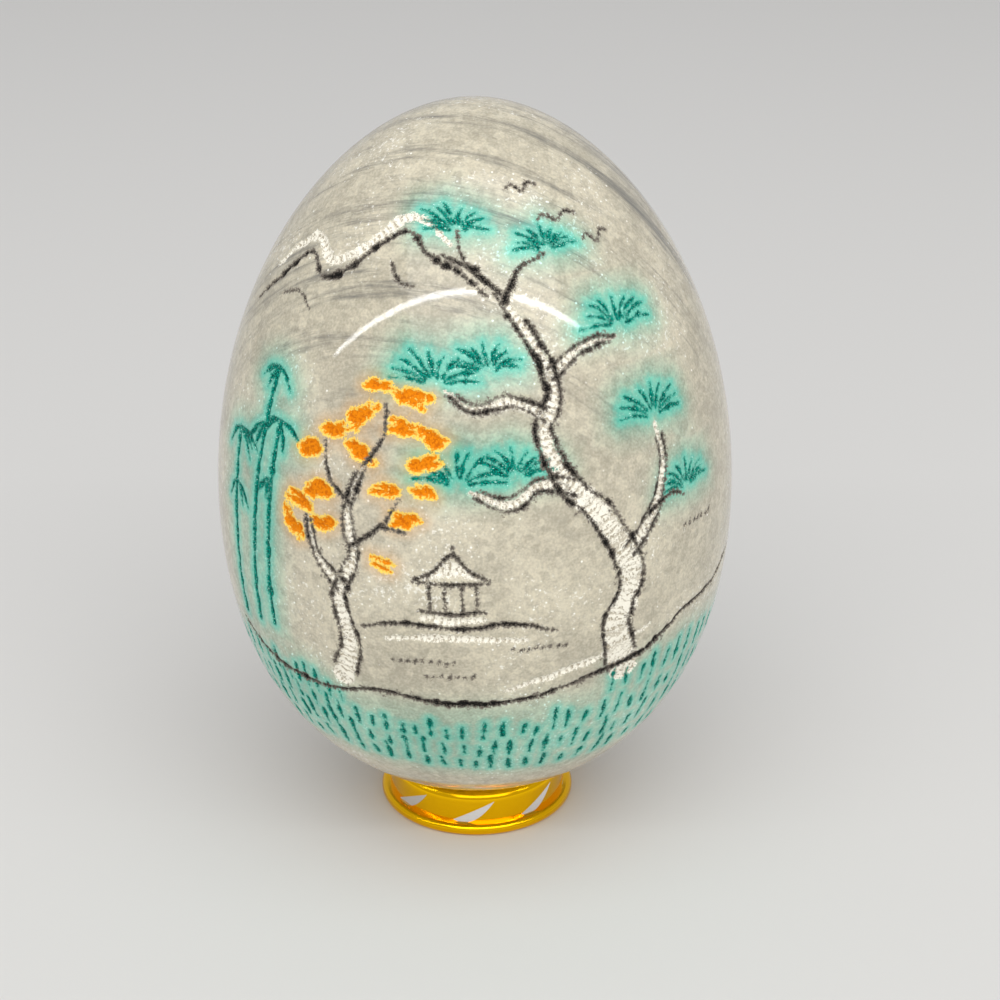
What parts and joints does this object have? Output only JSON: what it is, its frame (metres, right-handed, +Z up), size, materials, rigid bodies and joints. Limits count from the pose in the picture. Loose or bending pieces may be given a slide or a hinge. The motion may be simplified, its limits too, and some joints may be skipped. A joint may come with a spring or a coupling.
{
  "type": "decorative egg on ring stand",
  "caption": "Solid polished marble egg with an engraved and painted landscape, standing loose in a gold metal ring with bright diamond-cut facets.",
  "frame": {"origin": "centre of the ring stand's foot, on the surface that it stands on", "axes": "+Z up along the egg's axis, -Y towards the front of the picture, +X to the right of it"},
  "size_m": [0.052, 0.052, 0.075],
  "materials": {
    "gold_anodised": "turned, polished and anodised gold, with bare bright facets",
    "marble": "polished grey-white marble with an engraved and painted picture"
  },
  "bodies": {
    "ring_stand": {"ring_stand": "gold_anodised"},
    "egg": {"stone_egg": "marble"}
  },
  "joints": [
    {"name": "egg_lift", "type": "slide", "parent": "ring_stand", "child": "egg", "axis": [0, 0, 1], "range_m": [0, 0.03]}
  ]
}
